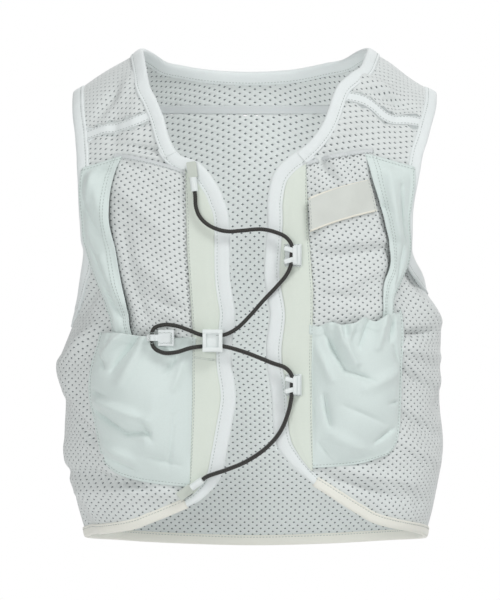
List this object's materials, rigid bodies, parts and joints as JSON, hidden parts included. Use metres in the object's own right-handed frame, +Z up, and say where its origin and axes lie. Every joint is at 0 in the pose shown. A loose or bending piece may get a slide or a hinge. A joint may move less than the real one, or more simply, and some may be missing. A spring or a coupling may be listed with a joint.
{
  "type": "running hydration vest",
  "caption": "Sleeveless running vest of perforated mesh, open down the front, with flask and chest pockets and an elastic cord laced zigzag across the chest.",
  "frame": {"origin": "1 mm under the neck ends of the shoulder crests, midway between them and over the middle of the torso, where the straps sit on the wearer's shoulders", "axes": "+Z up, from the hem to the shoulders, -Y the front of the vest, +X towards the right of the picture, the wearer's left"},
  "size_m": [0.3056, 0.1972, 0.4025],
  "materials": {
    "mesh": "matt perforated stretch mesh",
    "mint": "matt smooth stretch cloth",
    "tape": "matt ribbed woven tape",
    "binding": "matt folded binding",
    "cream": "matt folded hem tape",
    "label": "satin woven tape",
    "plastic": "pale translucent moulded plastic",
    "cord": "braided elastic"
  },
  "bodies": {
    "root": {"front_panel_left": "mesh", "front_panel_right": "mesh", "back_panel": "mesh", "neck_binding": "binding", "front_binding_left": "binding", "armhole_binding_left": "binding", "front_binding_right": "binding", "armhole_binding_right": "binding", "hem_binding": "cream", "shoulder_band_left": "tape", "shoulder_band_right": "tape", "front_tape_left": "tape", "front_tape_right": "tape", "chest_pocket_left": "mesh", "chest_pocket_right": "mesh", "strap_pocket_left": "mint", "strap_pocket_right": "mint", "flask_pocket_left": "mint", "flask_pocket_right": "mint", "chest_label": "label", "hook_pad_upper": "binding", "lace_hook_upper": "plastic", "hook_pad_lower": "binding", "lace_hook_lower": "plastic", "cord_slider": "plastic", "pull_tab": "tape", "cord_anchor_top": "tape", "cord_sleeve_top": "plastic", "cord_anchor_bottom": "tape", "cord_sleeve_bottom": "plastic", "elastic_cord": "cord"}
  },
  "joints": []
}
